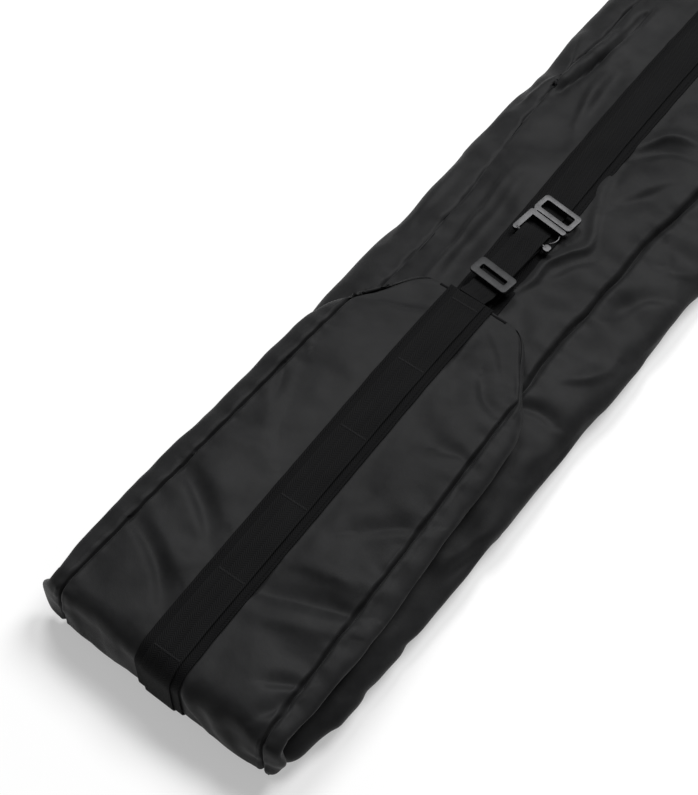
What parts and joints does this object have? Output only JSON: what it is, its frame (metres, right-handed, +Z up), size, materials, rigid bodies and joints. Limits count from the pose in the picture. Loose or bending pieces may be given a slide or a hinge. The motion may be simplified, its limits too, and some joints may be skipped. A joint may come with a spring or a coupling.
{
  "type": "ski bag",
  "caption": "Long soft fabric ski bag with its mouth end folded over its top and held by a webbing strap with a cast hook.",
  "frame": {"origin": "bottom centre of the bag's box as it lies folded", "axes": "+Y along the bag from the fold to the closed tail, +Z up through the fold, +X to the right looking along +Y"},
  "size_m": [0.2884, 1.71, 0.0808],
  "materials": {
    "shell_cloth": "charcoal-black satin nylon, fine plain weave with a soft sheen",
    "lining_cloth": "dark grey plain-woven lining, matt",
    "webbing": "black ribbed webbing, matt, with denser woven edges",
    "thread": "black bonded sewing thread",
    "foam_pad": "dark grey foam with a cloth face",
    "hook_metal": "satin gunmetal-grey cast metal",
    "gate_wire": "satin spring wire",
    "slider_metal": "dark grey satin-coated metal"
  },
  "bodies": {
    "body": {"body_bottom_panel": "shell_cloth", "body_top_panel": "shell_cloth", "body_left_gusset": "shell_cloth", "body_right_gusset": "shell_cloth", "left_upper_seam_binding": "lining_cloth", "left_lower_seam_binding": "lining_cloth", "right_upper_seam_binding": "lining_cloth", "right_lower_seam_binding": "lining_cloth", "top_base_band": "webbing", "top_strip": "webbing", "body_bartack_1": "thread", "body_bartack_2": "thread", "body_bartack_3": "thread", "body_bartack_4": "thread", "bottom_base_band": "webbing", "bottom_strip": "webbing", "tail_end_panel": "shell_cloth", "tail_base_band": "webbing", "tail_pad": "foam_pad", "fold_inner_crease": "lining_cloth"},
    "fold": {"fold_end_panel": "shell_cloth", "fold_base_band": "webbing", "fold_strip": "webbing", "fold_left_pleat": "shell_cloth", "fold_right_pleat": "shell_cloth"},
    "flap": {"flap_outer_panel": "shell_cloth", "flap_inner_panel": "shell_cloth", "flap_left_gusset": "shell_cloth", "flap_right_gusset": "shell_cloth", "flap_left_corner": "shell_cloth", "flap_right_corner": "shell_cloth", "mouth_upper_hem": "webbing", "mouth_lower_hem": "webbing", "flap_base_band": "webbing", "flap_strip": "webbing", "flap_bartack_1": "thread", "flap_bartack_2": "thread", "flap_bartack_3": "thread", "flap_bartack_4": "thread", "flap_bartack_5": "thread", "flap_bartack_6": "thread"},
    "closure": {"closure_strap": "webbing"},
    "slider": {"strap_slider": "slider_metal"},
    "hook": {"g_hook": "hook_metal"},
    "gate": {"hook_gate": "gate_wire"}
  },
  "joints": [
    {"name": "fold_open", "type": "hinge", "parent": "body", "child": "fold", "pos_m": [0, -0.8485, 0.0065], "axis": [1, 0, 0], "range_deg": [0, 90], "deforming": ["fold_inner_crease"]},
    {"name": "flap_open", "type": "hinge", "parent": "fold", "child": "flap", "pos_m": [0, -0.8485, 0.0735], "axis": [1, 0, 0], "range_deg": [0, 90]},
    {"name": "closure_lift", "type": "hinge", "parent": "flap", "child": "closure", "pos_m": [-0.0135, -0.371, 0.066], "axis": [1, 0, 0], "range_deg": [0, 70]},
    {"name": "slider_slide", "type": "slide", "parent": "closure", "child": "slider", "axis": [0, 0.998, -0.0637], "range_m": [-0.012, 0.03]},
    {"name": "hook_swing", "type": "hinge", "parent": "closure", "child": "hook", "pos_m": [-0.0135, -0.277, 0.06], "axis": [0.995, -0.0998, 0], "range_deg": [0, 100]},
    {"name": "gate_press", "type": "hinge", "parent": "hook", "child": "gate", "pos_m": [0.00764, -0.25862, 0.06], "axis": [0, 0, -1], "range_deg": [0, 25], "stiffness_Nm_per_rad": 0.01, "springref_deg": -8.59}
  ],
  "couplings": [
    {"joint": "flap_open", "follows": "fold_open", "ratio": 1}
  ]
}
